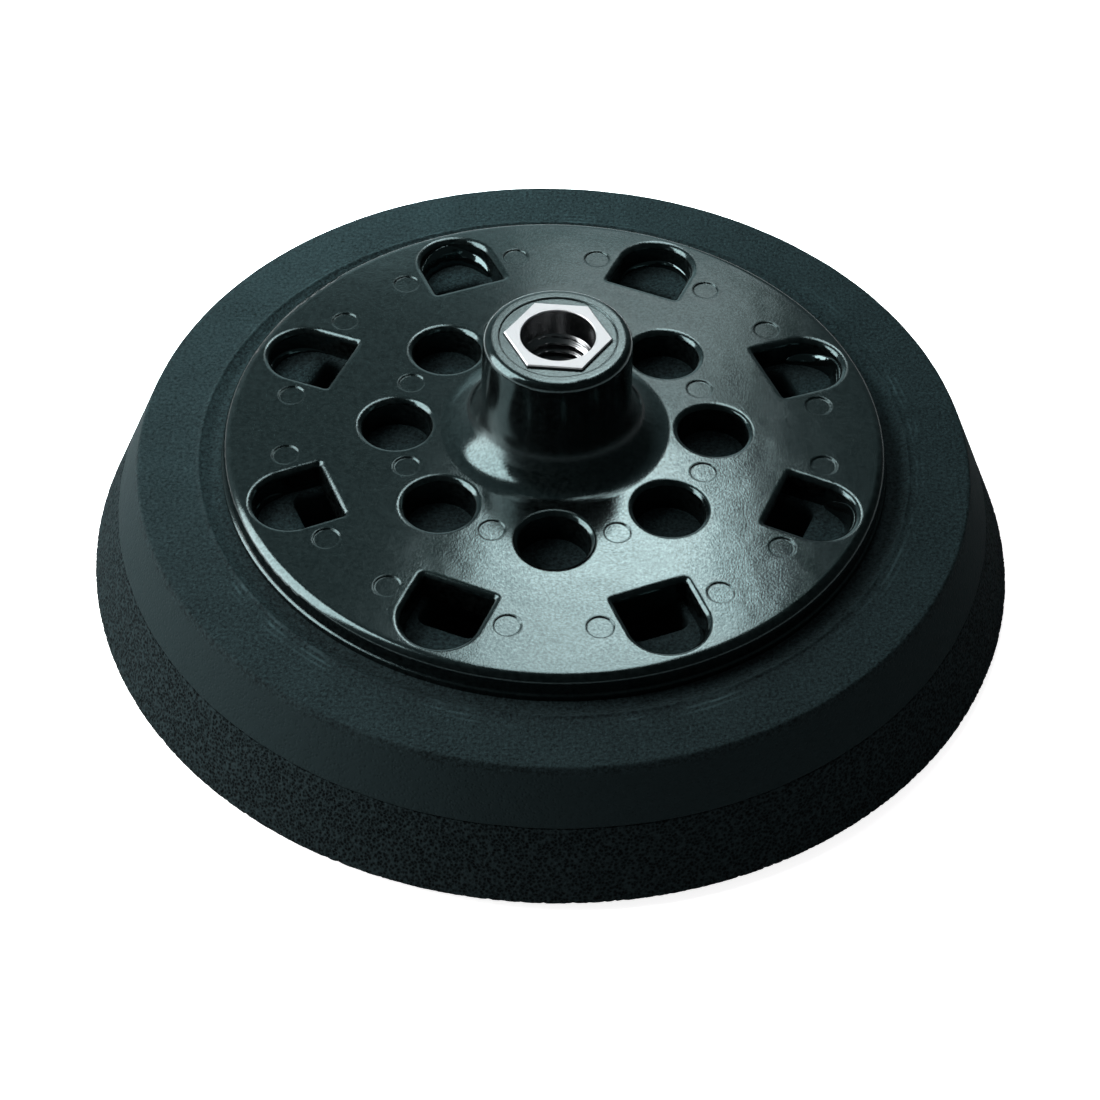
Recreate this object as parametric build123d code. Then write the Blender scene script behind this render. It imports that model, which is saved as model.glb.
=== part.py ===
from build123d import *
import math
import os

# Backing pad for a rotary sander, in millimetres.
# The hook face lies on Z = 0, and +Z runs up the spindle axis.
# Round holes start on +X, and the dust windows lie midway between them.

# Hook face and foams, from the bottom up
pad_diameter = 180.0          # soft foam at its lower edge, the size of the sanding disc
hook_thickness = 1.6          # backing film and hooks together
hook_inset = 1.8              # hook face inside the foam's lower edge
soft_foam_thickness = 14.3
firm_foam_thickness = 11.2
foam_lean = 22.2              # degrees from upright, the side of both foams
seat_depth = 0.8              # shallow seat in the firm foam that takes the plate
seat_clearance = 4.3          # open ring between the plate's foot and the seat's wall

# Hub of the plate
hub_diameter = 28.8           # where its side would meet the plate
hub_top_diameter = 27.8
hub_height = 29.4             # from the plate's underside
hub_flare = 7.9               # hollow radius between the hub and the plate
hub_shoulder = 1.6            # rounding of the hub's upper edge
collar_land = 0.9             # from the bush's corners to the edge of the sunken collar
collar_depth = 0.3            # sunken collar around the bush

# Moulded plate
sector_count = 8              # round holes, dust windows and their pin marks
plate_hub_thickness = 7.0     # at the hub
plate_rim_thickness = 5.2     # at the rim, so that the top falls outwards
plate_lean = 3.0              # degrees from upright, the side of the rim
rim_rounding = 1.8
foot_lip = 0.4                # thin lip that stands out round the plate's foot
foot_lip_height = 1.3
foot_lip_rounding = 0.3
edge_rounding = 1.2           # upper edge of each hole and window
hole_diameter = 13.1
hole_land = 0.1               # flat from the flare's foot to a round hole's edge
window_land = 5.9             # flat from a round hole's edge to a window's flat side, along the radius
window_length = 15.0          # along the radius, flat side to round end
window_width = 14.2
window_corner = 0.2           # the two corners of the flat side
rim_land = 0.1                # flat from a window's round end to the rounding of the rim

# Dust ducts, which pass the foams and the hook face under each window
duct_length = 12.8
duct_corner = 2.6
duct_show = 6.4               # length of the duct seen past the window's flat side
duct_ledge = 0.9              # ledge of foam seen along a window's straight sides

# Marks of the ejector pins in the plate's top
pin_diameter = 5.0
pin_depth = 0.25
pin_land = 1.0                # from a window's rounded side to a mark
pin_reach = 5.1               # from the line of a window's flat side outwards

# Steel bush, moulded into the hub
bush_sides = 6
bush_across_flats = 17.5
bush_length = 24.0
bush_proud = 0.3              # above the hub's top
bush_edge_break = 0.2
bush_turn = -3.8              # degrees, one corner from +X
bush_groove_width = 4.0       # turned groove that the moulding fills, to hold the bush
bush_groove_depth = 1.2       # below the flats
thread_major = 14.0           # metric coarse thread, 14 x 2
thread_pitch = 2.0
counterbore_depth = 5.8
counterbore_lead = 1.1        # height of the cone down to the thread

# Levels and radii that follow from the values above
cut_margin = 1.0              # how far a cutting tool runs past a face
sector_angle = 360.0 / sector_count
pad_radius = pad_diameter / 2
foam_slope = math.tan(math.radians(foam_lean))
soft_base = hook_thickness
firm_base = soft_base + soft_foam_thickness
firm_top = firm_base + firm_foam_thickness
firm_base_radius = pad_radius - soft_foam_thickness * foam_slope
firm_top_radius = firm_base_radius - firm_foam_thickness * foam_slope

plate_base = firm_top - seat_depth
plate_hub_top = plate_base + plate_hub_thickness
plate_rim_top = plate_base + plate_rim_thickness
hub_top = plate_base + hub_height
hub_radius = hub_diameter / 2
hole_radius = hole_diameter / 2
hole_circle = hub_radius + hub_flare + hole_land + edge_rounding + hole_radius
window_flat = hole_circle + hole_radius + edge_rounding + window_land + edge_rounding
window_end = window_flat + window_length
rim_radius = window_end + edge_rounding + rim_land + rim_rounding
side_height = plate_rim_thickness - foot_lip_height
side_radius = rim_radius + side_height * math.tan(math.radians(plate_lean))
plate_radius = side_radius + foot_lip
lip_top = plate_base + foot_lip_height
seat_radius = plate_radius + seat_clearance
duct_centre = window_flat + duct_show - duct_length / 2
duct_width = window_width - 2 * duct_ledge

bush_top = hub_top + bush_proud
bush_base = bush_top - bush_length
bush_corner_radius = bush_across_flats / 2 / math.cos(math.pi / bush_sides)
thread_minor = thread_major - 5 / 4 * math.sqrt(3) / 2 * thread_pitch


def upright(sketch, low, high):
    """Carries an outline in the XY plane straight up from one level to another."""
    return Pos(0, 0, low) * extrude(sketch, amount=high - low)


def around(tool, start_angle):
    """One copy of a tool in every sector, the first turned to the start angle."""
    return [Rot(0, 0, start_angle + k * sector_angle) * tool for k in range(sector_count)]


def dust_ducts():
    """Straight ducts of rounded outline, one under each window's flat side."""
    outline = Pos(duct_centre, 0) * RectangleRounded(duct_length, duct_width, duct_corner)
    return around(upright(outline, -cut_margin, firm_top + cut_margin), sector_angle / 2)


def foam_layer(base, base_radius, top, top_radius):
    """A leaning-sided disc of foam between two levels."""
    height = top - base
    return Pos(0, 0, base + height / 2) * Cone(base_radius, top_radius, height)


def hook_face():
    """Thin disc that the sanding sheet clings to, pierced by the dust ducts."""
    return upright(Circle(pad_radius - hook_inset), 0, hook_thickness) - dust_ducts()


def soft_foam():
    """Coarse, soft layer that carries the hook face."""
    return foam_layer(soft_base, pad_radius, firm_base, firm_base_radius) - dust_ducts()


def firm_foam():
    """Firmer layer with the shallow seat of the plate in its top."""
    layer = foam_layer(firm_base, firm_base_radius, firm_top, firm_top_radius)
    seat = upright(Circle(seat_radius), plate_base, firm_top + cut_margin)
    return layer - seat - dust_ducts()


def bush_blank():
    """Hexagon bar with its top edge broken and a groove turned round its middle."""
    hexagon = RegularPolygon(bush_across_flats / 2, bush_sides, major_radius=False, rotation=bush_turn)
    blank = upright(hexagon, bush_base, bush_top)
    blank = chamfer(blank.faces().sort_by(Axis.Z)[-1].edges(), bush_edge_break)
    groove_core = Circle(bush_across_flats / 2 - bush_groove_depth)
    groove_low = (bush_base + bush_top - bush_groove_width) / 2
    groove_ring = Circle(bush_corner_radius + cut_margin) - groove_core
    groove = upright(groove_ring, groove_low, groove_low + bush_groove_width)
    return blank - groove


def threaded_insert():
    """The steel bush: core diameter of the thread right through, counterbored at the top."""
    lead_middle = bush_top - counterbore_depth - counterbore_lead / 2
    lead = Pos(0, 0, lead_middle) * Cone(thread_minor / 2, thread_major / 2, counterbore_lead)
    core = upright(Circle(thread_minor / 2), bush_base - cut_margin, bush_top)
    counterbore = upright(Circle(thread_major / 2), bush_top - counterbore_depth, bush_top + cut_margin)
    return bush_blank() - core - lead - counterbore


def plate_blank():
    """Plate and hub in one turned form: lipped foot, falling top, hollow flare and round shoulder."""
    outline = FilletPolyline(
        (plate_radius, plate_base),
        (plate_radius, lip_top),
        (side_radius, lip_top),
        (rim_radius, plate_rim_top),
        (hub_radius, plate_hub_top),
        (hub_top_diameter / 2, hub_top),
        (0, hub_top),
        radius=[foot_lip_rounding, 0, rim_rounding, hub_flare, hub_shoulder],
    )
    closing = Polyline((0, hub_top), (0, plate_base), (plate_radius, plate_base))
    return revolve(Plane.XZ * make_face(outline + closing), Axis.Z)


def window_outline():
    """A window along +X: flat side towards the hub, straight sides and a half-round end."""
    half_width = window_width / 2
    straight = window_length - half_width
    outline = Pos(window_flat + straight / 2, 0) * Rectangle(straight, window_width)
    outline += Pos(window_end - half_width, 0) * Circle(half_width)
    return fillet(outline.vertices().sort_by(Axis.X)[:2], window_corner)


def pin_mark(blank, x, y):
    """A shallow round mark at one place. Its floor follows the plate's top, which falls outwards."""
    column = upright(Pos(x, y) * Circle(pin_diameter / 2), plate_base, plate_hub_top + cut_margin)
    return column - Pos(0, 0, -pin_depth) * blank


def backing_plate():
    """The moulding: plate and hub, pierced by the round holes and windows, round the bush."""
    blank = plate_blank()
    hole = upright(Pos(hole_circle, 0) * Circle(hole_radius), plate_base - cut_margin, hub_top)
    window = upright(window_outline(), plate_base - cut_margin, hub_top)
    plate = blank - around(hole, 0) - around(window, sector_angle / 2)

    def is_upper_edge(edge):
        box = edge.bounding_box()
        off_axis = math.hypot(box.center().X, box.center().Y)
        return box.min.Z > plate_base + plate_rim_thickness / 2 and off_axis > hub_radius

    plate = fillet(plate.edges().filter_by(is_upper_edge), edge_rounding)

    pin_side = window_width / 2 + edge_rounding + pin_land + pin_diameter / 2
    for side in (-pin_side, pin_side):
        plate -= around(pin_mark(blank, window_flat + pin_reach, side), sector_angle / 2)
    plate -= around(pin_mark(blank, hole_circle, 0), sector_angle / 2)

    collar = upright(Circle(bush_corner_radius + collar_land), hub_top - collar_depth, hub_top + cut_margin)
    return plate - collar - bush_blank()


os.makedirs("parts", exist_ok=True)
export_step(hook_face(), "parts/hook_face.step")
export_step(soft_foam(), "parts/soft_foam.step")
export_step(firm_foam(), "parts/firm_foam.step")
export_step(backing_plate(), "parts/backing_plate.step")
export_step(threaded_insert(), "parts/threaded_insert.step")
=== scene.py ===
import math

import bmesh
import bpy
import numpy as np
from bpy.props import FloatProperty, FloatVectorProperty, IntProperty, PointerProperty
from mathutils import Matrix, Quaternion, Vector


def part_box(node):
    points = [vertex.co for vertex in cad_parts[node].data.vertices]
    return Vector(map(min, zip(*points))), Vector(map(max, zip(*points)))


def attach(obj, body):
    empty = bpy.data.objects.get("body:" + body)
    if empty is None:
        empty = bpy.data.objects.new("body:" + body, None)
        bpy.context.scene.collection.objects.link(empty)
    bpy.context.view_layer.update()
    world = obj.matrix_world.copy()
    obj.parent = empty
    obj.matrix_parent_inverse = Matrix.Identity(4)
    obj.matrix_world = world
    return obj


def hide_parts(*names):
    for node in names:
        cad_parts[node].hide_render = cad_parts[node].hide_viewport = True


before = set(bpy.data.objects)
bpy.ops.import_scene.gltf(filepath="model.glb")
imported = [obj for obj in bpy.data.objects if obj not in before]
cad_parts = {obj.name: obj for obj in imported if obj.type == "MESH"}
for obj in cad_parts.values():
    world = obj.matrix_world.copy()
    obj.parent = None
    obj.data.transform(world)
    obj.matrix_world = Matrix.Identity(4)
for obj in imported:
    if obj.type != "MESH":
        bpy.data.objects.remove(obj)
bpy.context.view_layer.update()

bl_info = {
    "name": "Sanding Pad",
    "version": (1, 0, 0),
    "blender": (4, 5, 0),
    "location": "3D View > Sidebar > Sanding Pad",
    "description": "Plate, threaded bush, foams and hook face of a sanding pad, with its studio",
    "category": "Object",
}

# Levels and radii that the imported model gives
PLATE_LOW, PLATE_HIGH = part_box("backing_plate")
FIRM_LOW, FIRM_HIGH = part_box("firm_foam")
SOFT_LOW, SOFT_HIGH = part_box("soft_foam")
HOOK_LOW, HOOK_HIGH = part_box("hook_face")
BUSH_LOW, BUSH_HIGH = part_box("threaded_insert")

SECTORS = 8
SECTOR_ANGLE = math.tau / SECTORS
HEX_SIDES = 6
SHARP_EDGE = math.radians(20)
WELD_DISTANCE = 1e-6

# Points along each stretch of a profile or a sweep
FLAT_COLUMNS = 22
THREAD_ROWS = 20
FIRM_POINTS = {"floor": 10, "wall": 30, "ring": 14, "crown": 7, "side": 26, "hem": 5, "base": 4}
SOFT_POINTS = {"top": 4, "seam": 5, "side": 42, "hem": 7, "base": 8}
FILM_POINTS = {"top": 3, "edge": 3}
BEAD_POINTS = {"sweep": 90, "bulge": 10}

# Seeds of the scattered values
RIPPLE_SEEDS = (3, 5)
CELL_SEED = 11
BEAD_SEEDS = (7, 9)

# Range that soft noise mostly keeps to, and the end of a ramp and of its steps as shares of an edge
NOISE_RANGE = (0.3, 0.7)
BAND_END = 1.25
BAND_STEP = 1.02

# Multipliers and shifts of the integer hash, and how many values it tells apart
HASH_AXES = (73856093, 19349663, 83492791)
HASH_SEED = 2654435761
HASH_MIXERS = (2246822519, 3266489917, 668265263)
HASH_SHIFTS = (np.uint64(15), np.uint64(13))
HASH_MASK = np.uint64(0xFFFFFFFF)
HASH_LEVELS = 65536

# Each softbox: azimuth, elevation, distance and lean, then width and height, then watts
SOFTBOXES = {
    "side": ((181.0, 31.0, 0.30, 13.0), (0.225, 0.36), 2.26),
    "back": ((84.4, 48.75, 0.60, 0.0), (0.129, 0.0915), 0.37),
    "top": ((84.2, 63.0, 0.60, 0.0), (0.150, 0.24), 0.74),
    "foot": ((84.0, 39.2, 0.60, 0.0), (0.115, 0.1325), 0.11),
    "low": ((94.0, 17.0, 0.30, 0.0), (0.18, 0.150), 0.060),
    "fill": ((115.0, 30.0, 0.20, 0.0), (0.12, 0.12), 0.85),
}
TINTED_SOFTBOXES = ("low", "fill")


def length(description, default):
    """A setting in metres."""
    return FloatProperty(description=description, default=default, unit="LENGTH", precision=5)


def angle(description, default):
    """A setting for an angle, given in degrees."""
    return FloatProperty(description=description, default=math.radians(default), subtype="ANGLE")


def colour(description, default):
    """A setting for a colour, as linear red, green and blue."""
    return FloatVectorProperty(description=description, default=default, subtype="COLOR", size=3, min=0.0)


def number(description, default):
    """A setting for a plain number or a few of them."""
    if isinstance(default, tuple):
        return FloatVectorProperty(description=description, default=default, size=len(default), precision=4)
    return FloatProperty(description=description, default=default, precision=4)


class PlateSizes(bpy.types.PropertyGroup):
    """Sizes of the plate's finish"""

    collar_radius: length("Satin ring on top of the hub", 0.0123)
    hub_radius: length("Duller side of the hub", 0.0139)
    flare_radius: length("Where the hub's side ends in the flare", 0.0160)
    lip_radius: length("Duller lip at the plate's foot", 0.0633)
    edge_reach: length("How far light rolls over a moulded edge", 0.0005)
    gloss: number("Roughness of the polished faces", 0.12)
    satin: number("Roughness of the ring on top of the hub", 0.24)
    dullness: number("Roughness of the hub's side and of the lip", 0.25)
    wave_relief: length("Height of the slow waves in the gloss", 0.00011)
    pebble_relief: length("Height of the pebble in the gloss", 0.000015)


class FoamSizes(bpy.types.PropertyGroup):
    """Sizes of the two foams, of the ducts through them and of the adhesive in the windows"""

    seat_clearance: length("Open ring from the plate's foot to the seat's wall", 0.0043)
    seat_slope: length("Width of the seat's sloping wall", 0.0026)
    lip_height: length("Thin lip of skin along the seat's edge", 0.00028)
    lip_width: length("Width of that lip", 0.0007)
    lip_run: number("Lip widths from the seat's edge to the flat ring", 4.0)
    # Radii of the pale band at the seat's lip: partly scuffs and partly a painted highlight of the lip
    scuff_start: length("Inner radius of the scuffs", 0.0672)
    scuff_end: length("Outer radius of the scuffs", 0.0700)
    crown_rounding: length("Worn edge between the foam's ring and its side", 0.0007)
    seam_rounding: length("Edges where the two foams meet", 0.00025)
    hem_rounding: length("Lower edge of the soft foam", 0.0006)
    duct_centre: length("Distance of a duct from the spindle axis", 0.0450)
    duct_length: length("Duct along the radius", 0.0128)
    duct_width: length("Duct across the radius", 0.0124)
    duct_corner: length("Rounding of the duct's corners", 0.0026)
    cell: length("Mean width of an open cell in the soft foam", 0.0009)
    cell_depth: length("Depth of an open cell", 0.0002)
    cell_steepness: number("How steeply an open cell falls from its walls", 2.0)
    ripple_height: length("Height of the ripples in the firm foam's skin", 0.00006)
    slow_ripple: length("Width of the wide ripples", 0.004)
    quick_ripple: length("Width of the narrow ripples", 0.0012)
    ripple_shares: number("Shares of wide and narrow ripples", (0.6, 0.4))
    window_end: length("Distance of a window's round end from the spindle axis", 0.0600)
    window_width: length("Width of a window", 0.0142)
    bead_climb: length("Greatest height of the adhesive bead on a window's wall", 0.0036)
    bead_spread: length("Greatest depth of that bead on the foam", 0.0018)
    bead_power: number("Flatness of the bead, from 1 for round to 2 for flat", 1.4)
    bead_seed: IntProperty(description="Share of adhesive in each window", default=5102)
    bead_least: number("Least share of adhesive in a window", 0.25)
    bead_uneven: number("Unevenness of the bead's climb and spread", (0.3, 0.4))
    bead_lumps: number("Length of the lumps in climb and spread, in end radii", (0.8, 0.6))
    bead_sweep: angle("How far the bead runs round a window's end", 190.0)


class BushSizes(bpy.types.PropertyGroup):
    """Sizes of the steel bush"""

    across_flats: length("Width of the hexagon", 0.0175)
    turn: angle("Angle of one corner from +X", -3.8)
    edge_break: length("Chamfer of the hexagon's upper edge", 0.0002)
    mouth_break: length("Chamfer of the counterbore's edge", 0.00012)
    groove_width: length("Groove round the middle of the bush", 0.004)
    groove_depth: length("Groove below the flats", 0.0012)
    thread_radius: length("Outer radius of thread and counterbore", 0.007)
    thread_pitch: length("Rise of the thread in one turn", 0.002)
    counterbore_depth: length("From the face down to the cone", 0.0058)
    lead_depth: length("Height of the cone down to the thread", 0.0011)


class HookSizes(bpy.types.PropertyGroup):
    """Sizes of the hook face"""

    film_thickness: length("Backing film that carries the hooks", 0.0006)
    film_rounding: length("Edge of the film", 0.0001)
    spacing: length("Distance between hooks along a row", 0.0021)
    stem_width: length("Width of a hook", 0.00034)
    reach: length("How far a hook bends over", 0.0005)
    bend: angle("How far a hook turns back up", 160.0)
    tip: number("Width of a hook's tip, as a share of its stem", 0.5)
    land: length("Bare film along the rim and the ducts", 0.0006)


class PadColours(bpy.types.PropertyGroup):
    """Colours of the finishes, as linear values"""

    plastic: colour("Gloss black moulding", (0.0010, 0.0014, 0.0014))
    gloss: colour("Cast of the moulding's gloss", (0.70, 1.0, 1.02))
    firm_foam: colour("Charcoal skin of the firm foam", (0.0082, 0.0141, 0.0151))
    soft_foam: colour("Cell walls of the soft foam", (0.0075, 0.0122, 0.0131))
    steel: colour("Turned steel of the bush", (0.46, 0.47, 0.48))
    nylon: colour("Film and hooks", (0.035, 0.037, 0.038))
    floor: colour("Studio floor", (0.90, 0.90, 0.90))
    room: colour("Cast of the room's walls and of its weak lights", (0.76, 1.0, 1.03))
    even: colour("Cast of the room's even light", (1.0, 0.96, 1.0))


class StudioSettings(bpy.types.PropertyGroup):
    """Camera and room"""

    lens: number("Focal length in millimetres", 91.64)
    distance: length("From the camera to the pad's centre", 0.556)
    azimuth: angle("Turn of the camera about the spindle", -1.0)
    elevation: angle("Height of the camera", 45.69)
    roll: angle("Tilt of the picture", 1.85)
    shift: number("Sideways and upright framing", (-0.00145, -0.00845))
    even: number("Strength of the room's even light", 0.19)
    bright_wall: number("Grey of the room's bright side in reflections", 0.42)
    dark_wall: number("Grey of the room's dark side in reflections", 0.045)
    bright_azimuth: angle("Direction of the room's bright side", 135.0)
    wall_fade: number("Shares along the bright azimuth where dark ends and bright begins", (-0.1, 0.9))
    bounce: number("Share of the floor's colour that lights the pad", 0.95)
    lift: number("White that the camera sees on the floor", 0.84)
    floor_reach: length("Half the width of the floor", 30.0)


for softbox_name, (place, size, power) in SOFTBOXES.items():
    StudioSettings.__annotations__.update({
        softbox_name + "_place": number("Degrees round and up, metres away and degrees of lean", place),
        softbox_name + "_size": number("Width and height in metres", size),
        softbox_name + "_power": number("Watts", power),
    })


# Meshes


def grid_quads(rows, columns, closed_rows=False):
    """Quads of a grid numbered row by row: each joins a point to the next along its row and to the row after.
    Columns always close on themselves, and rows close too where asked."""
    row = np.arange(rows if closed_rows else rows - 1)[:, None]
    column = np.arange(columns)[None, :]
    after = (row + 1) % rows
    beside = (column + 1) % columns
    corners = (
        row * columns + column, row * columns + beside, after * columns + beside, after * columns + column,
    )
    return np.stack(corners, axis=-1).reshape(-1, 4)


def joined(surfaces):
    """One list of points and one of quads from several surfaces, each numbered after the last."""
    points, quads, count = [], [], 0
    for surface_points, surface_quads in surfaces:
        points.append(surface_points.reshape(-1, 3))
        quads.append(surface_quads + count)
        count += len(points[-1])
    return np.concatenate(points), np.concatenate(quads)


def mesh_object(name, points, quads, material, crease=None):
    """A welded mesh object whose faces point outwards, with its edges kept sharp above the crease angle."""
    mesh = bpy.data.meshes.new(name)
    mesh.vertices.add(len(points))
    mesh.vertices.foreach_set("co", np.ascontiguousarray(points, dtype=np.float32).ravel())
    mesh.loops.add(quads.size)
    mesh.loops.foreach_set("vertex_index", np.ascontiguousarray(quads, dtype=np.int32).ravel())
    mesh.polygons.add(len(quads))
    mesh.polygons.foreach_set("loop_start", np.arange(0, quads.size, quads.shape[1], dtype=np.int32))
    mesh.update(calc_edges=True)

    shell = bmesh.new()
    shell.from_mesh(mesh)
    bmesh.ops.remove_doubles(shell, verts=shell.verts, dist=WELD_DISTANCE)
    bmesh.ops.recalc_face_normals(shell, faces=shell.faces)
    shell.to_mesh(mesh)
    shell.free()

    mesh.polygons.foreach_set("use_smooth", np.ones(len(mesh.polygons), dtype=bool))
    if crease is not None:
        mesh.set_sharp_from_angle(angle=crease)
    mesh.materials.append(material)
    piece = bpy.data.objects.new(name, mesh)
    bpy.context.scene.collection.objects.link(piece)
    return piece


def unit(vectors):
    """Vectors scaled to length 1."""
    return vectors / np.linalg.norm(vectors, axis=-1, keepdims=True)


def turned(profile, angles):
    """Surface of a profile carried round Z. The point at radius r, height z and angle a is
    (r cos a, r sin a, z)."""
    radius, height = profile[:, 0, None], profile[:, 1, None]
    return np.stack((radius * np.cos(angles), radius * np.sin(angles), height + 0 * angles), axis=-1)


def moved(points, profile, distance):
    """Turned points moved along the outward normal of their profile, which is carried round with them."""
    along = unit(np.gradient(profile, axis=0))
    around = np.arctan2(points[..., 1], points[..., 0])
    across = -along[:, 1, None] * distance
    upward = along[:, 0, None] * distance
    return points + np.stack((across * np.cos(around), across * np.sin(around), upward), axis=-1)


def run(start, end, count):
    """Evenly spaced points or values of a straight run, without its end."""
    return np.linspace(start, end, count, endpoint=False)


def corner_arc(before, corner, after, rounding, count):
    """Arc of the given radius that rounds a corner between two straight runs, both ends included."""
    before, corner, after = (np.array(point) for point in (before, corner, after))
    inward, onward = unit(before - corner), unit(after - corner)
    half = math.acos(np.clip(inward @ onward, -1, 1)) / 2
    centre = corner + unit(inward + onward) * rounding / math.sin(half)
    first, last = (corner + way * rounding / math.tan(half) - centre for way in (inward, onward))
    sweep = math.pi - 2 * half
    share = np.linspace(0, 1, count)[:, None]
    return centre + (first * np.sin((1 - share) * sweep) + last * np.sin(share * sweep)) / math.sin(sweep)


def eased(share):
    """A share from 0 to 1 that starts and ends slowly."""
    return share * share * (3 - 2 * share)


# Scattered values


def scatter(cells, seed):
    """Three values from 0 to 1 for each whole-numbered cell, the same on every run: an integer hash of the
    cell's place, mixed once more for each value."""
    x, y, z = (cells[..., k].astype(np.uint64) * np.uint64(HASH_AXES[k]) for k in range(3))
    mixed = x ^ y ^ z ^ np.uint64(seed * HASH_SEED)
    first, last = HASH_SHIFTS
    values = []
    for multiplier in HASH_MIXERS:
        mixed = (mixed ^ (mixed >> first)) * np.uint64(multiplier) & HASH_MASK
        values.append((mixed ^ (mixed >> last)) % np.uint64(HASH_LEVELS) / HASH_LEVELS)
    return np.stack(values, axis=-1)


def cell_distances(points, cell, seed):
    """Distances from each point to the nearest and the second nearest cell centre, in cells.
    Every cube of a lattice holds one centre, shifted inside its cube by the hash."""
    scaled_points = points / cell
    home = np.floor(scaled_points).astype(np.int64)
    nearest = np.full(points.shape[:-1], np.inf)
    second = nearest.copy()
    for step in np.ndindex(3, 3, 3):
        cube = home + np.array(step) - 1
        away = np.linalg.norm(scaled_points - cube - scatter(cube, seed), axis=-1)
        second = np.minimum(second, np.maximum(nearest, away))
        nearest = np.minimum(nearest, away)
    return nearest, second


def ripple(points, size, seed):
    """Smooth values from -1 to 1: hashed lattice values blended by eased weights in each direction."""
    scaled_points = points / size
    home = np.floor(scaled_points).astype(np.int64)
    ease = eased(scaled_points - home)
    total = np.zeros(points.shape[:-1])
    for step in np.ndindex(2, 2, 2):
        weight = np.prod(np.where(np.array(step) == 1, ease, 1 - ease), axis=-1)
        total += weight * scatter(home + np.array(step), seed)[..., 0]
    return 2 * total - 1


# Pierced layers


def duct_reach(direction, sizes):
    """Distance from a duct's centre to its wall: a ray meets a flat side, or else the arc of a corner."""
    half = np.array((sizes.duct_length, sizes.duct_width)) / 2
    core = half - sizes.duct_corner
    ray = np.abs(direction)
    flat = half / np.maximum(ray, 1e-9)
    on_end = flat[..., 0] * ray[..., 1] <= core[1]
    on_side = flat[..., 1] * ray[..., 0] <= core[0]
    along = ray @ core
    arc = along + np.sqrt(np.maximum(along**2 - core @ core + sizes.duct_corner**2, 0))
    return np.where(on_end, flat[..., 0], np.where(on_side, flat[..., 1], arc))


def duct_gap(plane, sizes):
    """Distance of points in the plane from the nearest duct's wall, negative inside a duct.
    Each point is turned into the sector round +X, and measured from the duct's rounded rectangle there."""
    away = np.hypot(plane[:, 0], plane[:, 1])
    around = np.arctan2(plane[:, 1], plane[:, 0]) % SECTOR_ANGLE - SECTOR_ANGLE / 2
    offset = np.abs(np.stack((away * np.cos(around) - sizes.duct_centre, away * np.sin(around)), axis=-1))
    past = offset - np.array((sizes.duct_length, sizes.duct_width)) / 2 + sizes.duct_corner
    outside = np.linalg.norm(np.maximum(past, 0), axis=1)
    return outside + np.minimum(past.max(axis=1), 0) - sizes.duct_corner


def sector_outlines(radius, arc_count, side_count, sizes):
    """Outline of one sector, centred on +X, and the duct's outline seen along the same rays from the duct's
    centre. The sector runs along its arc, in along one side to the axis and out along the other."""
    angles = run(-SECTOR_ANGLE / 2, SECTOR_ANGLE / 2, arc_count)
    arc = radius * np.stack((np.cos(angles), np.sin(angles)), axis=-1)
    side = np.array((math.cos(SECTOR_ANGLE / 2), math.sin(SECTOR_ANGLE / 2))) * radius
    inwards = run(side, (0.0, 0.0), side_count)
    outwards = run((0.0, 0.0), side * (1, -1), side_count)
    edge = np.concatenate((arc, inwards, outwards))
    centre = np.array((sizes.duct_centre, 0.0))
    ray = unit(edge - centre)
    return edge, centre + ray * duct_reach(ray, sizes)[:, None]


def spread_round(points):
    """Copies of points round +X, one turned about Z to the middle of each sector."""
    copies = []
    for sector in range(SECTORS):
        turn = (sector + 0.5) * SECTOR_ANGLE
        x, y = points[..., 0], points[..., 1]
        across = x * math.cos(turn) - y * math.sin(turn)
        along = x * math.sin(turn) + y * math.cos(turn)
        copies.append(np.stack((across, along, points[..., 2]), axis=-1))
    return copies


def at_level(plane, level):
    """Points of the plane lifted to a level, one for all or one for each."""
    return np.stack((plane[..., 0], plane[..., 1], level + 0 * plane[..., 0]), axis=-1)


def pierced_layer(profile, shape, sizes, arc_count, side_count=14, rings=4, wall_rows=6):
    """A round layer pierced by the ducts. Its turned profile starts and ends on one radius, on the upper and
    the lower face, and shape(points, profile), where given, moves the turned points. The flat faces inside that
    radius are rings that go in even steps from each duct to its sector's edge, and the ducts' outlines carried
    down are their walls."""
    angles = np.arange(SECTORS * arc_count) * SECTOR_ANGLE / arc_count
    radius, high = profile[0]
    low = profile[-1, 1]
    edge, duct = sector_outlines(radius, arc_count, side_count, sizes)
    share = np.linspace(0, 1, rings)[:, None, None]
    face = duct + share * (edge - duct)
    wall = np.broadcast_to(duct, (wall_rows,) + duct.shape)
    outside = turned(profile, angles)
    if shape is not None:
        outside = shape(outside, profile)
    levels = np.linspace(low, high, wall_rows)[:, None]
    surfaces = [(outside, grid_quads(len(profile), len(angles)))]
    for inside in (at_level(face, high), at_level(face, low), at_level(wall, levels)):
        surfaces += [(points, grid_quads(len(inside), len(edge))) for points in spread_round(inside)]
    return joined(surfaces)


# Finishes


def new_finish(name):
    """A material with its node tree and its shader."""
    material = bpy.data.materials.new(name)
    material.use_nodes = True
    return material, material.node_tree, material.node_tree.nodes["Principled BSDF"]


def set_inputs(tree, made, values):
    """Sets inputs of a node, by name or number: each to a constant, or linked to another node's socket."""
    for key, value in values.items():
        if isinstance(value, bpy.types.NodeSocket):
            tree.links.new(value, made.inputs[key])
        else:
            made.inputs[key].default_value = value


def add_node(tree, kind, values=None, **settings):
    """A node with its settings and its inputs."""
    made = tree.nodes.new(kind)
    for key, value in settings.items():
        setattr(made, key, value)
    set_inputs(tree, made, values or {})
    return made


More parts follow.
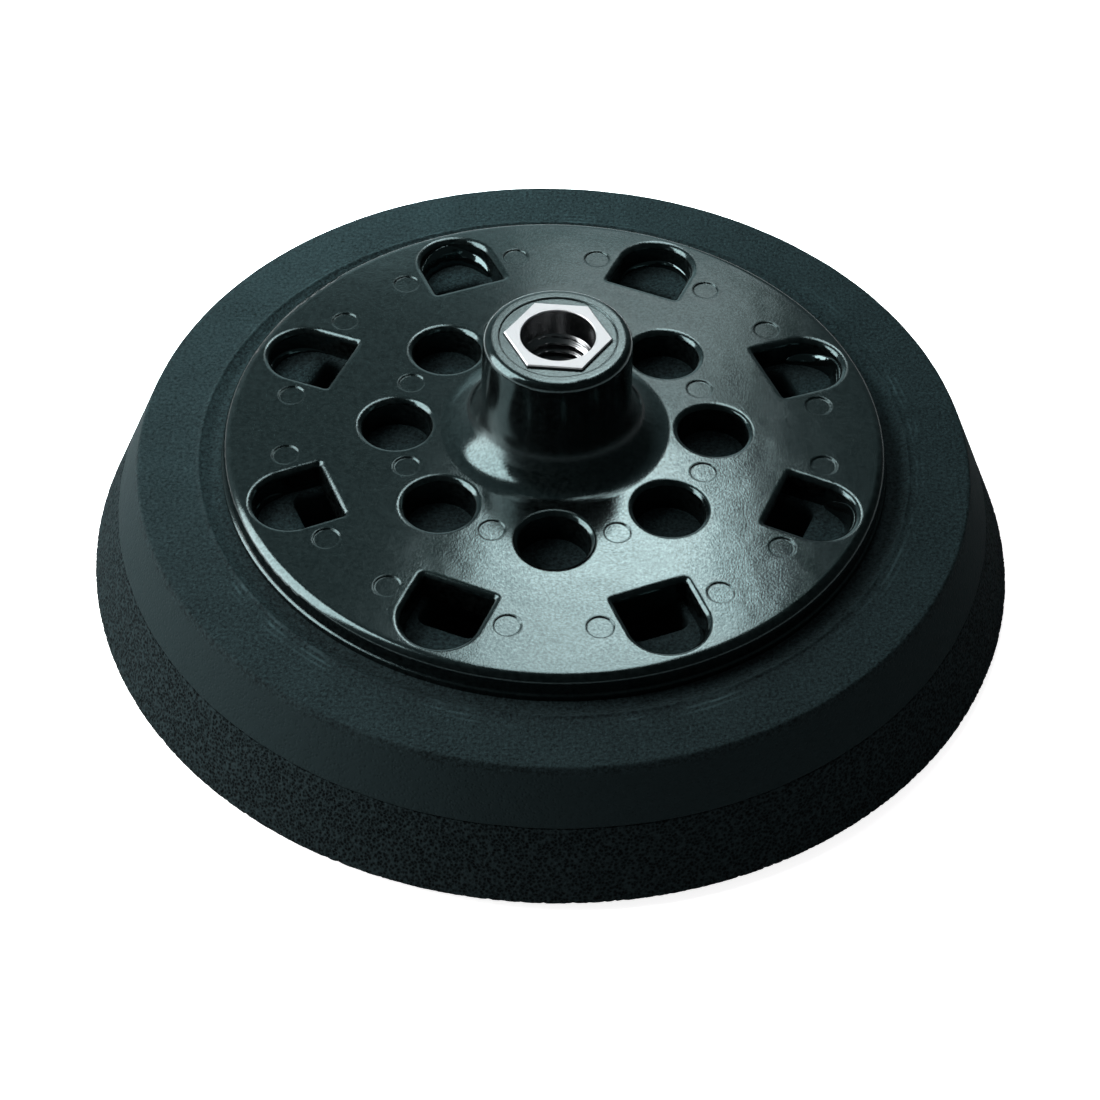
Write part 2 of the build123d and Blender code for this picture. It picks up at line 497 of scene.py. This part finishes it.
def object_place(tree):
    """Socket with the place on the piece, in metres."""
    return add_node(tree, "ShaderNodeTexCoord").outputs["Object"]


def height_on(tree, place):
    """Socket with the height of a place."""
    return add_node(tree, "ShaderNodeSeparateXYZ", {0: place}).outputs["Z"]


def axis_distance(tree, place):
    """Socket with the distance of a place from the spindle axis."""
    level = add_node(tree, "ShaderNodeVectorMath", {0: place, 1: (1.0, 1.0, 0.0)}, operation="MULTIPLY")
    away = add_node(tree, "ShaderNodeVectorMath", {0: level.outputs["Vector"]}, operation="LENGTH")
    return away.outputs["Value"]


def noise(tree, place, scale, detail=2.0, roughness=0.5):
    """Socket with soft noise of that many waves a metre."""
    values = {"Vector": place, "Scale": scale, "Detail": detail, "Roughness": roughness}
    return add_node(tree, "ShaderNodeTexNoise", values).outputs[0]


def cell_field(tree, place, scale):
    """Socket with the distance to scattered cell centres, that many cells a metre."""
    return add_node(tree, "ShaderNodeTexVoronoi", {"Vector": place, "Scale": scale}).outputs["Distance"]


def rings_round(tree, place, scale, distortion):
    """Socket with fine rings round the spindle axis."""
    values = {"Vector": place, "Scale": scale, "Distortion": distortion, "Detail": 2.0}
    made = add_node(tree, "ShaderNodeTexWave", values, wave_type="RINGS", rings_direction="Z")
    return made.outputs["Fac"]


def spread(tree, value, low, high, to_low=0.0, to_high=1.0):
    """Socket with a value carried from one range to another and held at its ends."""
    values = {"Value": value, "From Min": low, "From Max": high, "To Min": to_low, "To Max": to_high}
    return add_node(tree, "ShaderNodeMapRange", values).outputs["Result"]


def banded(tree, value, bands):
    """Socket that steps from one number to the next at each band's edge, given as edge, number before and
    number after. A step is a short ramp outwards from its edge."""
    last = BAND_END * bands[-1][0]
    ramp = add_node(tree, "ShaderNodeValToRGB", {"Fac": spread(tree, value, 0.0, last)})
    stops = ramp.color_ramp.elements
    stops[0].color = (*(bands[0][1],) * 3, 1.0)
    stops[1].color = (*(bands[-1][2],) * 3, 1.0)
    for edge, before, after in bands:
        stops.new(edge / last).color = (*(before,) * 3, 1.0)
        stops.new(BAND_STEP * edge / last).color = (*(after,) * 3, 1.0)
    return ramp.outputs["Color"]


def blended(tree, share, first, second):
    """Socket with a colour between two, by share. Each of the two is a colour or another socket."""
    made = add_node(tree, "ShaderNodeMix", {"Factor": share}, data_type="RGBA")
    ends = [number for number, socket in enumerate(made.inputs) if socket.type == "RGBA"]
    for end, value in zip(ends, (first, second)):
        set_inputs(tree, made, {end: value if isinstance(value, bpy.types.NodeSocket) else (*value, 1.0)})
    return next(socket for socket in made.outputs if socket.type == "RGBA")


def relief(tree, height, depth, below=None):
    """Socket with a normal bent by a height of that many metres, over another normal where given."""
    made = add_node(tree, "ShaderNodeBump", {"Height": height, "Strength": 1.0, "Distance": depth})
    if below is not None:
        set_inputs(tree, made, {"Normal": below})
    return made.outputs["Normal"]


def combined(tree, operation, first, second):
    """Socket with two values combined by an operation of the math node."""
    return add_node(tree, "ShaderNodeMath", {0: first, 1: second}, operation=operation).outputs[0]


def scaled(base, factor):
    """A colour made lighter or darker."""
    return tuple(channel * factor for channel in base)


def shades(tree, share, base, dark, light):
    """Socket with a colour between a darker and a lighter shade of a base, by share."""
    return blended(tree, share, scaled(base, dark), scaled(base, light))


def gloss_plastic(colours, sizes):
    """Glass-filled nylon from a polished mould: black and faintly mottled, with soft edges, and with slow waves
    and a fine pebble in its gloss. The ring on the hub's top, the hub's side and the plate's lip are duller."""
    material, tree, shader = new_finish("gloss_plastic")
    place = object_place(tree)
    slow = noise(tree, place, scale=80.0)
    pebble = noise(tree, place, scale=2600.0, roughness=0.6)
    speckle = noise(tree, place, scale=1900.0, roughness=0.6)
    mottle = spread(tree, noise(tree, place, scale=1000.0, roughness=0.7), low=0.35, high=0.65)
    bands = (
        (sizes.collar_radius, sizes.satin, sizes.gloss),
        (sizes.hub_radius, sizes.gloss, sizes.dullness),
        (sizes.flare_radius, sizes.dullness, sizes.gloss),
        (sizes.lip_radius, sizes.gloss, sizes.dullness),
    )
    edges = add_node(tree, "ShaderNodeBevel", {"Radius": sizes.edge_reach}, samples=6)
    waves = relief(tree, slow, sizes.wave_relief, below=edges.outputs["Normal"])
    set_inputs(tree, shader, {
        "Base Color": shades(tree, mottle, colours.plastic, dark=0.05, light=2.9),
        "Specular IOR Level": spread(tree, speckle, *NOISE_RANGE, to_low=0.51, to_high=0.83),
        "Specular Tint": (*colours.gloss, 1.0),
        "Roughness": banded(tree, axis_distance(tree, place), bands),
        "Normal": relief(tree, pebble, sizes.pebble_relief, below=waves),
    })
    return material


def wet_adhesive(colours):
    """Black adhesive that has set with a smooth, shining skin."""
    material, tree, shader = new_finish("wet_adhesive")
    lumps = noise(tree, object_place(tree), scale=900.0)
    set_inputs(tree, shader, {
        "Base Color": (*colours.plastic, 1.0),
        "Specular IOR Level": 1.0,
        "Specular Tint": (*colours.gloss, 1.0),
        "Roughness": 0.08,
        "Normal": relief(tree, lumps, depth=0.00005),
    })
    return material


def firm_foam_finish(colours, sizes):
    """Moulded skin of close-celled foam: charcoal, with pinholes. Its upper face is speckled in soft blotches,
    with a pale band in patches along the seat's edge that is partly scuffs and partly a painted highlight of
    the seat's lip, and its side is even."""
    material, tree, shader = new_finish("firm_foam")
    base = colours.firm_foam
    place = object_place(tree)
    blotch = spread(tree, noise(tree, place, scale=120.0, detail=4.0), *NOISE_RANGE)
    speckle = spread(tree, noise(tree, place, scale=1550.0, roughness=0.8), *NOISE_RANGE)
    darker = shades(tree, speckle, base, dark=0.25, light=1.55)
    lighter = shades(tree, speckle, base, dark=0.45, light=1.75)
    upper = spread(tree, height_on(tree, place), low=FIRM_HIGH.z - 0.002, high=FIRM_HIGH.z - 0.001)
    skin = blended(tree, upper, scaled(base, 1.05), blended(tree, blotch, darker, lighter))

    # Pale band at the seat's lip, in patches and fine rings: partly scuffs and partly a painted highlight where
    # the lip catches the light
    fine_ring_streaks = spread(tree, rings_round(tree, place, scale=260.0, distortion=1.2), low=0.4, high=1.0)
    patches = spread(tree, noise(tree, place, scale=60.0, detail=5.0, roughness=0.7), low=0.5, high=0.7)
    bands = ((sizes.scuff_start, 0.0, 1.0), (sizes.scuff_end, 1.0, 0.0))
    band = banded(tree, axis_distance(tree, place), bands)
    scuffs_and_painted_highlight = combined(tree, "MULTIPLY", band, combined(tree, "MULTIPLY", fine_ring_streaks, patches))

    grain = relief(tree, noise(tree, place, scale=2200.0), depth=0.00006)
    pinholes = spread(tree, cell_field(tree, place, scale=1500.0), low=0.1, high=0.45)
    set_inputs(tree, shader, {
        "Base Color": blended(tree, scuffs_and_painted_highlight, skin, scaled(base, 3.4)),
        "Specular IOR Level": 0.03,
        "Roughness": 0.85,
        "Normal": relief(tree, pinholes, depth=0.00008, below=grain),
    })
    return material


def soft_foam_finish(colours):
    """Open-celled foam: painted shade darkens each cell's pit and the cell walls between the pits are painted
    lighter, and the same pits bend the normal.
    """
    material, tree, shader = new_finish("soft_foam")
    place = object_place(tree)
    pits_and_pit_shade = spread(tree, cell_field(tree, place, scale=1700.0), low=0.15, high=0.75)
    fuzz = relief(tree, noise(tree, place, scale=2600.0), depth=0.0001)
    set_inputs(tree, shader, {
        # Painted shade: the colour darkens into each cell's pit and lightens on the cell walls, as light would
        # fall on them
        "Base Color": shades(tree, pits_and_pit_shade, colours.soft_foam, dark=0.1, light=1.5),
        "Specular IOR Level": 0.03,
        "Roughness": 0.95,
        "Normal": relief(tree, pits_and_pit_shade, depth=0.0002, below=fuzz),
    })
    return material


def turned_steel(colours):
    """Steel faced on a lathe: fine rings round the axis, and a darker, smoother bore below the bright face."""
    material, tree, shader = new_finish("turned_steel")
    place = object_place(tree)
    face = spread(tree, height_on(tree, place), low=BUSH_HIGH.z - 0.0004, high=BUSH_HIGH.z - 0.0002)
    set_inputs(tree, shader, {
        "Base Color": shades(tree, face, colours.steel, dark=0.5, light=1.0),
        "Metallic": 1.0,
        "Roughness": spread(tree, face, 0.0, 1.0, to_low=0.24, to_high=0.52),
        "Normal": relief(tree, rings_round(tree, place, scale=900.0, distortion=0.6), depth=0.000006),
    })
    return material


def moulded_nylon(colours):
    """Dark nylon of the hook face, slightly cloudy."""
    material, tree, shader = new_finish("moulded_nylon")
    cloud = noise(tree, object_place(tree), scale=300.0, detail=3.0)
    set_inputs(tree, shader, {
        "Base Color": shades(tree, spread(tree, cloud, *NOISE_RANGE), colours.nylon, dark=0.8, light=1.25),
        "Specular IOR Level": 0.4,
        "Roughness": spread(tree, cloud, *NOISE_RANGE, to_low=0.4, to_high=0.55),
        "Normal": relief(tree, cloud, depth=0.00003),
    })
    return material


# Plate and bush


def place_piece(piece, node=None):
    """Lets a piece ride on the part, in place of a solid where one is named."""
    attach(piece, "root")
    if node is not None:
        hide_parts(node)


class PAD_OT_plate(bpy.types.Operator):
    """Gives the moulded plate its gloss"""

    bl_idname = "sanding_pad.plate"
    bl_label = "Dress Plate"

    def execute(self, context):
        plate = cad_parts["backing_plate"]
        finish = gloss_plastic(context.scene.pad_colours, context.scene.plate_sizes)
        for slot in plate.material_slots:
            slot.material = finish
        return {"FINISHED"}


def bush_bore(sizes, angles):
    """Radius and height of the bore, row by row. The thread's groove follows the turn: with f the fraction of
    height / pitch - angle / 2 pi, it is deepest at f = 1/2 and falls along straight flanks to the crest.
    The cone of the lead cuts the crests away at the top."""
    lead_top = BUSH_HIGH.z - sizes.counterbore_depth
    lead_low = lead_top - sizes.lead_depth
    core = sizes.thread_radius - 5 / 8 * math.sqrt(3) / 2 * sizes.thread_pitch
    rows = 1 + round(THREAD_ROWS * (lead_top - BUSH_LOW.z) / sizes.thread_pitch)
    height = np.linspace(BUSH_LOW.z, lead_top, rows)[:, None] + 0 * angles
    turn = height / sizes.thread_pitch - angles / math.tau
    from_root = np.abs(turn - np.floor(turn) - 1 / 2)
    depth = np.clip((3 / 8 - from_root) / (3 / 8 - 1 / 16), 0, 1)
    lead = np.clip((height - lead_low) / sizes.lead_depth, 0, 1)
    return core + (sizes.thread_radius - core) * np.maximum(depth, lead), height


def bush_surface(sizes):
    """One closed surface: up the bore and the counterbore, across the face, down the hexagon with its groove,
    and back under. The hexagon's radius at an angle is half its flats over the cosine of the angle from the
    middle of that flat."""
    columns = HEX_SIDES * FLAT_COLUMNS
    angles = sizes.turn + np.arange(columns) * math.tau / columns
    flat = sizes.across_flats / 2
    flat_angle = math.pi / HEX_SIDES
    from_middle = (np.arange(columns) % FLAT_COLUMNS) * 2 * flat_angle / FLAT_COLUMNS - flat_angle
    hexagon = flat / np.cos(from_middle)
    mouth = np.full(columns, sizes.thread_radius)
    groove = np.full(columns, flat - sizes.groove_depth)
    middle = (BUSH_LOW.z + BUSH_HIGH.z) / 2
    rings = (
        (mouth, BUSH_HIGH.z - sizes.mouth_break),
        (mouth + sizes.mouth_break, BUSH_HIGH.z),
        (hexagon - sizes.edge_break, BUSH_HIGH.z),
        (hexagon, BUSH_HIGH.z - sizes.edge_break),
        (hexagon, middle + sizes.groove_width / 2),
        (groove, middle + sizes.groove_width / 2),
        (groove, middle - sizes.groove_width / 2),
        (hexagon, middle - sizes.groove_width / 2),
        (hexagon, BUSH_LOW.z),
    )
    bore, bore_height = bush_bore(sizes, angles)
    radius = np.concatenate((bore, [ring for ring, level in rings]))
    height = np.concatenate((bore_height, [np.full(columns, level) for ring, level in rings]))
    points = np.stack((radius * np.cos(angles), radius * np.sin(angles), height), axis=-1)
    return points.reshape(-1, 3), grid_quads(len(radius), columns, closed_rows=True)


class PAD_OT_bush(bpy.types.Operator):
    """Makes the steel bush, with its thread"""

    bl_idname = "sanding_pad.bush"
    bl_label = "Make Bush"

    def execute(self, context):
        points, quads = bush_surface(context.scene.bush_sizes)
        finish = turned_steel(context.scene.pad_colours)
        bush = mesh_object("threaded_bush", points, quads, finish, crease=SHARP_EDGE)
        place_piece(bush, "threaded_insert")
        return {"FINISHED"}


# Foams


def side_and_base(upper, hem, end, count):
    """Lower stretch of a foam's profile: its upper arc, leaning side, rounded hem and underside."""
    side = run(upper[-1], hem[0], count["side"])[1:]
    base = run(hem[-1], end, count["base"])[1:]
    return np.concatenate((upper, side, hem, base, [end]))


def firm_profile(sizes):
    """Seat floor, seat wall with its lip, ring, worn crown, side and underside, as radius and height. The
    seat's wall is an eased step, and its lip is a bell curve on top."""
    count = FIRM_POINTS
    slope = (SOFT_HIGH.x - FIRM_HIGH.x) / (FIRM_LOW.z - SOFT_LOW.z)
    floor, top, base = PLATE_LOW.z, FIRM_HIGH.z, FIRM_LOW.z
    seat_radius = PLATE_HIGH.x + sizes.seat_clearance
    core_radius = PLATE_HIGH.x - sizes.seat_clearance
    crown = np.array((FIRM_HIGH.x - slope * (top - base), top))
    hem = np.array((FIRM_HIGH.x, base))
    lip = np.array((seat_radius + sizes.lip_run * sizes.lip_width, top))
    radius = run(seat_radius - sizes.seat_slope, lip[0], count["wall"])
    step = eased(np.clip((radius - radius[0]) / sizes.seat_slope, 0, 1))
    skin = sizes.lip_height * np.exp(-(((radius - seat_radius) / (sizes.lip_width / 2)) ** 2))
    wall = np.stack((radius, floor + step * (top - floor) + skin), axis=-1)
    round_crown = corner_arc(lip, crown, hem, sizes.crown_rounding, count["crown"])
    round_hem = corner_arc(crown, hem, (core_radius, base), sizes.seam_rounding, count["hem"])
    seat = run((core_radius, floor), wall[0], count["floor"])
    ring = run(lip, round_crown[0], count["ring"])
    return np.concatenate((seat, wall, ring, side_and_base(round_crown, round_hem, (core_radius, base), count)))


def soft_profile(sizes):
    """Upper face, seam edge, leaning side, lower edge and underside, as radius and height."""
    count = SOFT_POINTS
    core_radius = PLATE_HIGH.x
    top, base = SOFT_HIGH.z, SOFT_LOW.z
    seam = np.array((FIRM_HIGH.x, top))
    hem = np.array((SOFT_HIGH.x, base))
    round_seam = corner_arc((core_radius, top), seam, hem, sizes.seam_rounding, count["seam"])
    round_hem = corner_arc(seam, hem, (core_radius, base), sizes.hem_rounding, count["hem"])
    face = run((core_radius, top), round_seam[0], count["top"])
    return np.concatenate((face, side_and_base(round_seam, round_hem, (core_radius, base), count)))


def end_fade(profile, reach=4):
    """A share for each point of a profile that falls to nothing over the last few at both ends."""
    place = np.arange(len(profile))
    return np.clip(np.minimum(place, place[::-1]) / reach, 0, 1)[:, None]


class PAD_OT_firm_foam(bpy.types.Operator):
    """Makes the firm foam, with the plate's seat and the ducts"""

    bl_idname = "sanding_pad.firm_foam"
    bl_label = "Make Firm Foam"

    def execute(self, context):
        sizes = context.scene.foam_sizes

        def rippled(points, profile):
            """Wide and narrow ripples along the normal."""
            widths = (sizes.slow_ripple, sizes.quick_ripple)
            layers = zip(sizes.ripple_shares, widths, RIPPLE_SEEDS)
            height = sum(share * ripple(points, width, seed) for share, width, seed in layers)
            return moved(points, profile, height * end_fade(profile) * sizes.ripple_height)

        points, quads = pierced_layer(firm_profile(sizes), rippled, sizes, arc_count=110)
        finish = firm_foam_finish(context.scene.pad_colours, sizes)
        foam = mesh_object("firm_foam_layer", points, quads, finish)
        place_piece(foam, "firm_foam")
        return {"FINISHED"}


class PAD_OT_soft_foam(bpy.types.Operator):
    """Makes the soft foam, with its open cells and the ducts"""

    bl_idname = "sanding_pad.soft_foam"
    bl_label = "Make Soft Foam"

    def execute(self, context):
        sizes = context.scene.foam_sizes

        def open_celled(points, profile):
            """Pits between cell walls, which deepen away from the nearest wall."""
            nearest, second = cell_distances(points, sizes.cell, CELL_SEED)
            pit = np.clip((second - nearest) * sizes.cell_steepness, 0, 1)
            return moved(points, profile, -pit * end_fade(profile) * sizes.cell_depth)

        points, quads = pierced_layer(soft_profile(sizes), open_celled, sizes, arc_count=150)
        finish = soft_foam_finish(context.scene.pad_colours)
        foam = mesh_object("soft_foam_layer", points, quads, finish)
        place_piece(foam, "soft_foam")
        return {"FINISHED"}


def adhesive_surface(sizes):
    """Beads of adhesive along the foot of the windows' round ends. At each angle round such an end, a flat
    bulge falls from the plate's wall to the foam, with powers of a cosine and a sine as its spread and climb.
    Both are uneven and run out at the ends of the sweep, and each window has its own amount. The corner behind
    the bulge is sunk into wall and foam."""
    half_sweep = sizes.bead_sweep / 2
    angles = np.linspace(-half_sweep, half_sweep, BEAD_POINTS["sweep"])
    arc = np.linspace(0, math.pi / 2, BEAD_POINTS["bulge"])
    inset = np.append(np.cos(arc) ** sizes.bead_power, 0)
    lift = np.append(np.sin(arc) ** sizes.bead_power, 0)
    sink = np.append(0 * arc, sizes.bead_spread / 4)
    end_radius = sizes.window_width / 2
    lumps = tuple(zip(sizes.bead_uneven, sizes.bead_lumps, BEAD_SEEDS))
    amounts = np.random.default_rng(sizes.bead_seed).random(SECTORS)
    surfaces = []
    for sector, amount in enumerate(sizes.bead_least + (1 - sizes.bead_least) * amounts):
        track = np.stack((np.cos(angles), np.sin(angles), 0 * angles + sector), axis=-1)
        size = amount * np.sqrt(1 - (angles / half_sweep) ** 2)
        climb, depth = (size * (1 + uneven * ripple(track, lump, seed)) for uneven, lump, seed in lumps)
        radius = end_radius - sizes.bead_spread * depth[:, None] * inset + sink
        x = sizes.window_end - end_radius + radius * np.cos(angles)[:, None]
        y = radius * np.sin(angles)[:, None]
        height = PLATE_LOW.z + sizes.bead_climb * climb[:, None] * lift - sink
        points = spread_round(np.stack((x, y, height), axis=-1))[sector]
        surfaces.append((points, grid_quads(len(angles), len(inset))))
    return joined(surfaces)


class PAD_OT_adhesive(bpy.types.Operator):
    """Makes the adhesive that has run out round the windows"""

    bl_idname = "sanding_pad.adhesive"
    bl_label = "Make Adhesive"

    def execute(self, context):
        points, quads = adhesive_surface(context.scene.foam_sizes)
        beads = mesh_object("adhesive_beads", points, quads, wet_adhesive(context.scene.pad_colours))
        place_piece(beads)
        return {"FINISHED"}


# Hook face


def film_profile(sizes):
    """Upper face, rounded edge and lower face of the backing film, as radius and height."""
    core_radius = PLATE_HIGH.x
    rim_radius = HOOK_HIGH.x
    top, base = HOOK_HIGH.z, HOOK_HIGH.z - sizes.film_thickness
    corners = ((core_radius, top), (rim_radius, top), (rim_radius, base), (core_radius, base))
    upper = corner_arc(*corners[:3], sizes.film_rounding, FILM_POINTS["edge"])
    lower = corner_arc(*corners[1:], sizes.film_rounding, FILM_POINTS["edge"])
    return np.concatenate((run(corners[0], upper[0], FILM_POINTS["top"]), upper, lower, corners[3:]))


def hook_shape(sizes):
    """One hook as four square sections: its root in the film, the foot of its stem, the lowest point of its
    bend and its tip. The bend is an arc of half the reach whose outside touches the sanding disc's level."""
    half = sizes.stem_width / 2
    bend_radius = sizes.reach / 2
    turn = np.array((0.0, 0.0, math.pi / 2, sizes.bend))
    x = bend_radius * (1 - np.cos(turn))
    z = HOOK_LOW.z + half + bend_radius * (1 - np.sin(turn))
    z[0] = HOOK_HIGH.z - sizes.film_thickness / 2
    taper = half * np.array((1.0, 1.0, 1.0, sizes.tip))
    corners = []
    for across, aside in ((1, 1), (1, -1), (-1, -1), (-1, 1)):
        corners.append((x + across * taper * np.cos(turn), aside * taper, z + across * taper * np.sin(turn)))
    points = np.moveaxis(np.array(corners), (0, 1, 2), (1, 2, 0))
    first_end = np.arange(len(corners))
    ends = np.stack((first_end, first_end + (len(turn) - 1) * len(corners)))
    return points.reshape(-1, 3), np.concatenate((grid_quads(len(turn), len(corners)), ends))


def hook_places(sizes, foam_sizes):
    """Places of the hooks in staggered rows, clear of the film's rim and of the ducts."""
    count = math.ceil(HOOK_HIGH.x / sizes.spacing)
    steps = np.arange(-count, count + 1)
    row, column = np.meshgrid(steps, steps, indexing="ij")
    plane = np.stack(((column + row % 2 / 2) * sizes.spacing, row * sizes.spacing), axis=-1).reshape(-1, 2)
    room = sizes.land + sizes.reach
    inside = np.hypot(plane[:, 0], plane[:, 1]) < HOOK_HIGH.x - room
    return plane[inside & (duct_gap(plane, foam_sizes) > room)]


def hook_surface(sizes, foam_sizes):
    """The pierced film with all its hooks. Hooks of neighbouring rows bend opposite ways."""
    surfaces = [pierced_layer(film_profile(sizes), None, foam_sizes, arc_count=40, wall_rows=2, rings=3)]
    shape, quads = hook_shape(sizes)
    places = hook_places(sizes, foam_sizes)
    way = 1 - 2 * (np.round(places[:, 1] / sizes.spacing) % 2)
    points = np.repeat(shape[None], len(places), axis=0)
    points[..., 0] *= way[:, None]
    points[..., :2] += places[:, None]
    numbered = quads[None] + len(shape) * np.arange(len(places))[:, None, None]
    surfaces.append((points, numbered.reshape(-1, 4)))
    return joined(surfaces)


class PAD_OT_hook_face(bpy.types.Operator):
    """Makes the film and the hooks under the pad"""

    bl_idname = "sanding_pad.hook_face"
    bl_label = "Make Hook Face"

    def execute(self, context):
        scene = context.scene
        points, quads = hook_surface(scene.hook_sizes, scene.foam_sizes)
        hooks = mesh_object("hook_film", points, quads, moulded_nylon(scene.pad_colours), crease=SHARP_EDGE)
        place_piece(hooks, "hook_face")
        return {"FINISHED"}


# Stage


def softbox(name, place, size, power, cast):
    """A soft rectangular light that looks at the plate's centre from its place."""
    aim = Vector((0.0, 0.0, FIRM_HIGH.z))
    azimuth, elevation, distance, lean = place
    level = Vector((math.cos(math.radians(azimuth)), math.sin(math.radians(azimuth)), 0.0))
    climb = math.radians(elevation)
    direction = level * math.cos(climb) + Vector((0.0, 0.0, math.sin(climb)))
    lamp = bpy.data.lights.new(name, "AREA")
    lamp.shape = "RECTANGLE"
    lamp.size, lamp.size_y = size
    lamp.energy = power
    lamp.color = cast
    light = bpy.data.objects.new(name, lamp)
    light.location = aim + direction * distance
    facing = direction.to_track_quat("Z", "Y") @ Quaternion((0.0, 0.0, 1.0), math.radians(lean))
    light.rotation_euler = facing.to_euler()
    light.visible_camera = False
    bpy.context.scene.collection.objects.link(light)
    return light


def chosen(tree, share, first, second):
    """Socket with the second shader where the share is 1, and the first where it is 0."""
    return add_node(tree, "ShaderNodeMixShader", {"Fac": share, 1: first, 2: second}).outputs[0]


def floor_finish(colours, studio):
    """Pale floor that the camera sees lifted to white, with the pad's shadow on it."""
    material = bpy.data.materials.new("studio_floor")
    material.use_nodes = True
    tree = material.node_tree
    tree.nodes.clear()
    seen = add_node(tree, "ShaderNodeLightPath").outputs["Is Camera Ray"]
    matt, dim = (
        add_node(tree, "ShaderNodeBsdfDiffuse", {"Color": (*scaled(colours.floor, share), 1.0)}).outputs[0]
        for share in (1.0, studio.bounce)
    )
    glow = add_node(tree, "ShaderNodeEmission", {"Strength": studio.lift}).outputs[0]
    lifted = add_node(tree, "ShaderNodeAddShader", {0: matt, 1: glow}).outputs[0]
    add_node(tree, "ShaderNodeOutputMaterial", {"Surface": chosen(tree, seen, dim, lifted)})
    return material


def background(tree, shade, strength=1.0):
    """Socket with a room of one shade, which is a colour or another socket."""
    return add_node(tree, "ShaderNodeBackground", {"Color": shade, "Strength": strength}).outputs[0]


def room_light(colours, studio):
    """The room: even light on the pad, white to the camera, and in the gloss a slow change from its dark side
    to its bright side. The side is the direction's share along the bright azimuth."""
    world = bpy.data.worlds.new("studio")
    world.use_nodes = True
    tree = world.node_tree
    tree.nodes.clear()
    path = add_node(tree, "ShaderNodeLightPath").outputs
    even = background(tree, (*colours.even, 1.0), studio.even)
    white = background(tree, (1.0, 1.0, 1.0, 1.0))
    bright = (math.cos(studio.bright_azimuth), math.sin(studio.bright_azimuth), 0.0)
    direction = add_node(tree, "ShaderNodeTexCoord").outputs["Generated"]
    side = add_node(tree, "ShaderNodeVectorMath", {0: direction, 1: bright}, operation="DOT_PRODUCT")
    share = spread(tree, side.outputs["Value"], *studio.wall_fade)
    walls = background(tree, shades(tree, share, colours.room, studio.dark_wall, studio.bright_wall))
    in_gloss = combined(tree, "MAXIMUM", path["Is Glossy Ray"], path["Is Transmission Ray"])
    unseen = chosen(tree, in_gloss, even, walls)
    add_node(tree, "ShaderNodeOutputWorld", {"Surface": chosen(tree, path["Is Camera Ray"], unseen, white)})
    return world


def studio_camera(studio):
    """Camera that looks at the foam's lower edge on the axis: its axes are right and up, turned by the roll."""
    target = Vector((0.0, 0.0, SOFT_LOW.z))
    a, e, r = studio.azimuth, studio.elevation, studio.roll
    back = Vector((math.sin(a) * math.cos(e), -math.cos(a) * math.cos(e), math.sin(e)))
    right = Vector((math.cos(a), math.sin(a), 0.0))
    up = back.cross(right)
    across = right * math.cos(r) + up * math.sin(r)
    upright = up * math.cos(r) - right * math.sin(r)
    data = bpy.data.cameras.new("studio_camera")
    data.lens = studio.lens
    data.shift_x, data.shift_y = studio.shift
    data.clip_start = 0.01
    camera = bpy.data.objects.new("studio_camera", data)
    axes = Matrix((across, upright, back)).transposed().to_4x4()
    camera.matrix_world = Matrix.Translation(target + back * studio.distance) @ axes
    bpy.context.scene.collection.objects.link(camera)
    bpy.context.scene.camera = camera


class PAD_OT_stage(bpy.types.Operator):
    """Sets the floor, the lights and the camera"""

    bl_idname = "sanding_pad.stage"
    bl_label = "Set Stage"

    def execute(self, context):
        scene = context.scene
        studio, colours = scene.pad_studio, scene.pad_colours
        corners = np.array(((-1, -1, 0), (1, -1, 0), (1, 1, 0), (-1, 1, 0))) * studio.floor_reach
        finish = floor_finish(colours, studio)
        mesh_object("studio_floor", corners, np.array([[0, 1, 2, 3]]), finish)
        scene.world = room_light(colours, studio)
        for name in SOFTBOXES:
            place, size, power = (getattr(studio, name + ending) for ending in ("_place", "_size", "_power"))
            cast = colours.room if name in TINTED_SOFTBOXES else (1.0, 1.0, 1.0)
            light = softbox(name + "_softbox", place, size, power, cast)
            light.visible_glossy = name != "fill"
        studio_camera(studio)
        scene.view_settings.view_transform = "Standard"
        return {"FINISHED"}


class PAD_PT_sidebar(bpy.types.Panel):
    """Lists the pad's pieces in the 3D view's sidebar"""

    bl_idname = "PAD_PT_sidebar"
    bl_label = "Sanding Pad"
    bl_space_type = "VIEW_3D"
    bl_region_type = "UI"
    bl_category = "Sanding Pad"

    def draw(self, context):
        for operator in OPERATORS:
            self.layout.operator(operator.bl_idname)


OPERATORS = (
    PAD_OT_plate,
    PAD_OT_bush,
    PAD_OT_firm_foam,
    PAD_OT_soft_foam,
    PAD_OT_adhesive,
    PAD_OT_hook_face,
    PAD_OT_stage,
)
SETTINGS = {
    "plate_sizes": PlateSizes,
    "foam_sizes": FoamSizes,
    "bush_sizes": BushSizes,
    "hook_sizes": HookSizes,
    "pad_colours": PadColours,
    "pad_studio": StudioSettings,
}


def label_settings(group):
    """Labels each setting of a group in plain words, after its name."""
    for name, setting in group.__annotations__.items():
        setting.keywords["name"] = name.replace("_", " ").capitalize()


def register():
    for group in SETTINGS.values():
        label_settings(group)
        bpy.utils.register_class(group)
    for name, group in SETTINGS.items():
        setattr(bpy.types.Scene, name, PointerProperty(type=group))
    for item in OPERATORS + (PAD_PT_sidebar,):
        bpy.utils.register_class(item)


def unregister():
    for item in reversed(OPERATORS + (PAD_PT_sidebar,)):
        bpy.utils.unregister_class(item)
    for name in SETTINGS:
        delattr(bpy.types.Scene, name)
    for group in SETTINGS.values():
        bpy.utils.unregister_class(group)


def main():
    register()
    for operator in OPERATORS:
        group, name = operator.bl_idname.split(".")
        getattr(getattr(bpy.ops, group), name)()


if __name__ == "__main__":
    main()
